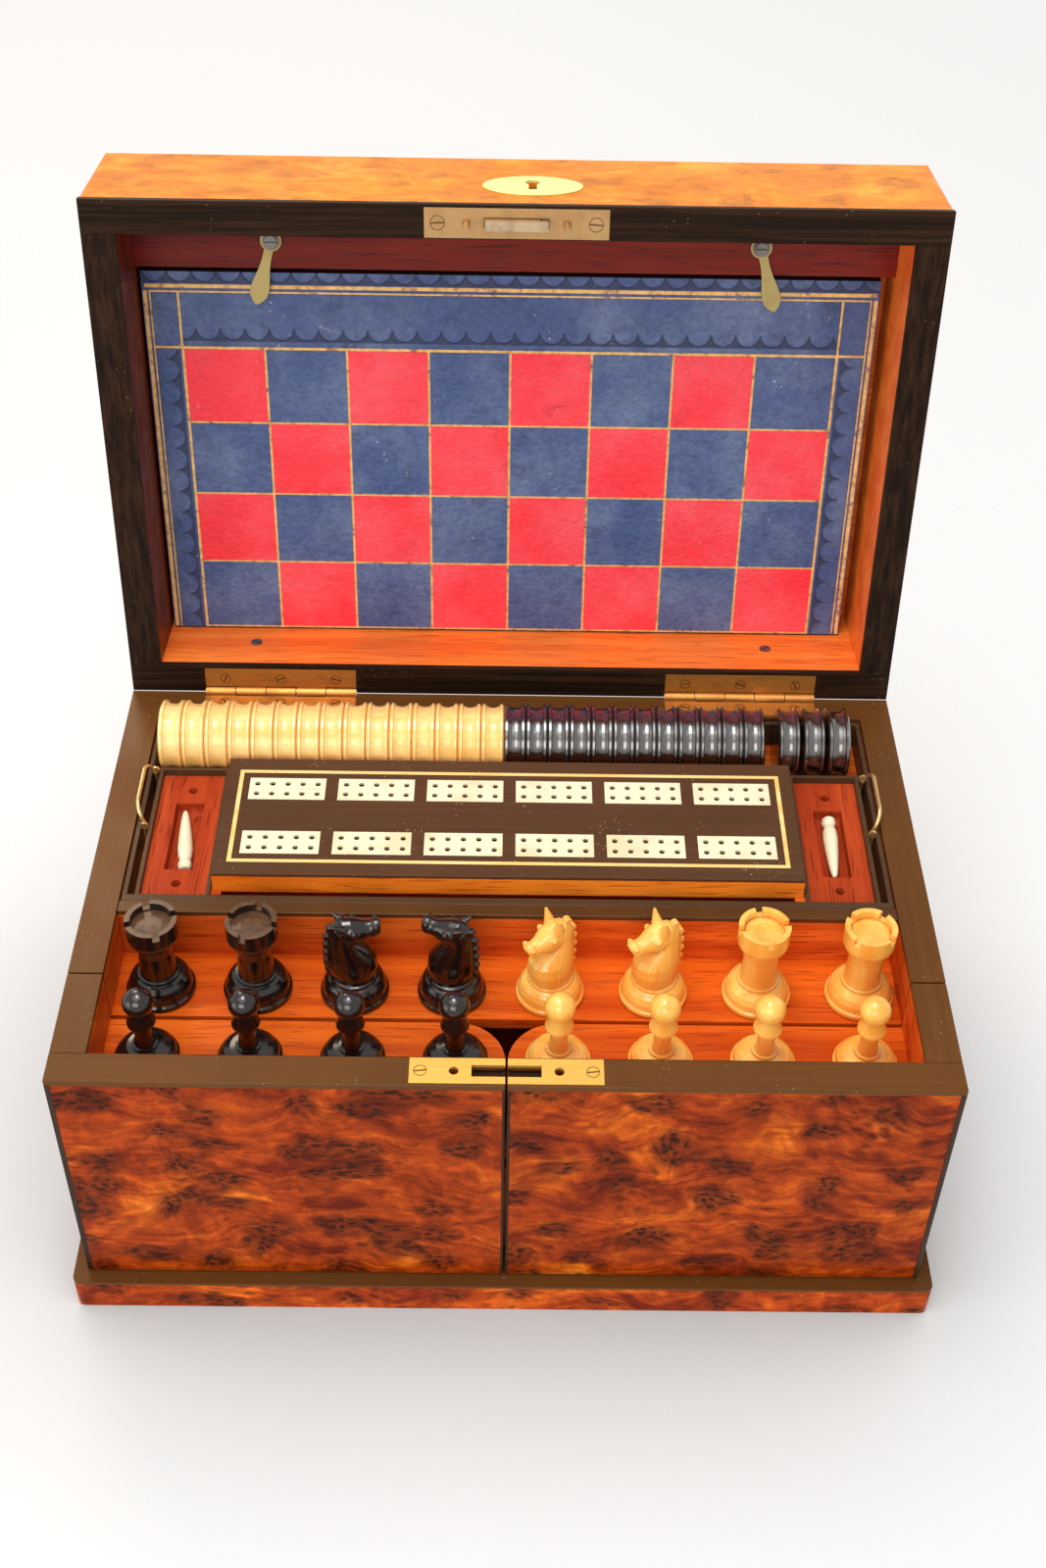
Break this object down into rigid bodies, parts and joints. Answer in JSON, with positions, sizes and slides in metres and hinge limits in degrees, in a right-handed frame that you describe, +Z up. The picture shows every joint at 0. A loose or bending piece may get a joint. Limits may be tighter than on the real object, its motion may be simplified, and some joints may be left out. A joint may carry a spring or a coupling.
{
  "type": "games compendium box",
  "caption": "Veneered games box with a hinged lid that holds a folding board, two L-shaped front doors with chessmen, and a lift-out tray with draughts and a cribbage board.",
  "frame": {"origin": "under the middle of the case, on the surface that the plinth stands on", "axes": "+X to the right seen from the doors, +Y to the back, +Z up"},
  "size_m": [0.3412, 0.3111, 0.3491],
  "materials": {
    "burr_veneer": "polished burr veneer",
    "ebony": "polished dark wood",
    "mahogany": "waxed mahogany",
    "boxwood": "polished turned boxwood",
    "ebonised_boxwood": "polished black-stained boxwood",
    "brass": "aged polished brass",
    "steel": "worn steel",
    "bone": "polished bone",
    "tooled_board": "tooled leather over a wooden leaf",
    "dark_leather": "worn leather",
    "red_leather": "gilt-tooled leather",
    "blue_leather": "gilt-tooled leather"
  },
  "bodies": {
    "case": {"base_board": "mahogany", "carcase_bottom": "mahogany", "plinth": "burr_veneer", "plinth_ledge": "ebony", "back_wall": "burr_veneer", "side_walls": "burr_veneer", "case_rim": "ebony", "ebony_trim": "ebony", "partition": "mahogany", "upper_shelf": "mahogany", "tray_bearers": "mahogany", "case_hinges": "brass", "rooks_black": "ebonised_boxwood", "rooks_white": "boxwood", "knights_black": "ebonised_boxwood", "knights_white": "boxwood", "officers_black": "ebonised_boxwood", "officers_white": "boxwood"},
    "left_door": {"left_door": "burr_veneer", "left_door_rim": "ebony", "left_door_edging": "ebony", "left_door_shelves": "mahogany", "left_strike_plate": "brass", "left_door_hinges": "brass", "pawns_black": "ebonised_boxwood"},
    "right_door": {"right_door": "burr_veneer", "right_door_rim": "ebony", "right_door_edging": "ebony", "right_door_shelves": "mahogany", "right_strike_plate": "brass", "right_door_hinges": "brass", "pawns_white": "boxwood"},
    "lid": {"lid_box": "burr_veneer", "lid_rim": "ebony", "lid_batten": "mahogany", "lock_case": "brass", "lock_plate": "brass", "escutcheon": "brass", "lid_hinges": "brass", "lid_screws": "steel", "board_leaves": "tooled_board", "board_spine": "dark_leather", "board_red_squares": "red_leather", "board_blue_squares": "blue_leather"},
    "lock_bolt": {"lock_bolt": "steel"},
    "left_turn_button": {"left_turn_button": "brass"},
    "right_turn_button": {"right_turn_button": "brass"},
    "tray": {"tray_walls": "ebony", "tray_floor_board": "mahogany", "peg_blocks": "mahogany", "bone_pegs": "bone", "handle_eyes": "brass", "draughts_light": "boxwood", "draughts_dark": "ebonised_boxwood"},
    "left_handle": {"left_handle": "brass"},
    "right_handle": {"right_handle": "brass"},
    "cribbage_board": {"crib_body": "mahogany", "crib_top": "ebony", "crib_plates": "bone", "crib_line": "boxwood"}
  },
  "joints": [
    {"name": "lid_hinge", "type": "hinge", "parent": "case", "child": "lid", "pos_m": [0, 0.108, 0.1354], "axis": [-1, 0, 0], "range_deg": [-98.2, 0]},
    {"name": "left_door_hinge", "type": "hinge", "parent": "case", "child": "left_door", "pos_m": [-0.165, -0.0566, 0.0677], "axis": [0, 0, -1], "range_deg": [0, 110]},
    {"name": "right_door_hinge", "type": "hinge", "parent": "case", "child": "right_door", "pos_m": [0.165, -0.0566, 0.0677], "axis": [0, 0, 1], "range_deg": [0, 110]},
    {"name": "lock_bolt_slide", "type": "slide", "parent": "lid", "child": "lock_bolt", "axis": [1, 0, 0], "range_m": [0, 0.0032]},
    {"name": "left_button_turn", "type": "hinge", "parent": "lid", "child": "left_turn_button", "pos_m": [-0.097, 0.16639, 0.31976], "axis": [0, 0.9898, -0.1426], "range_deg": [-125, 94]},
    {"name": "right_button_turn", "type": "hinge", "parent": "lid", "child": "right_turn_button", "pos_m": [0.097, 0.16639, 0.31976], "axis": [0, -0.9898, 0.1426], "range_deg": [-125, 94]},
    {"name": "tray_lift", "type": "slide", "parent": "case", "child": "tray", "axis": [0, 0, 1], "range_m": [0, 0.07]},
    {"name": "left_handle_swing", "type": "hinge", "parent": "tray", "child": "left_handle", "pos_m": [-0.148, 0.0401, 0.1352], "axis": [0, 1, 0], "range_deg": [0, 108]},
    {"name": "right_handle_swing", "type": "hinge", "parent": "tray", "child": "right_handle", "pos_m": [0.148, 0.0401, 0.1352], "axis": [0, -1, 0], "range_deg": [0, 108]},
    {"name": "cribbage_board_lift", "type": "slide", "parent": "tray", "child": "cribbage_board", "axis": [0, 0, 1], "range_m": [0, 0.03]}
  ]
}
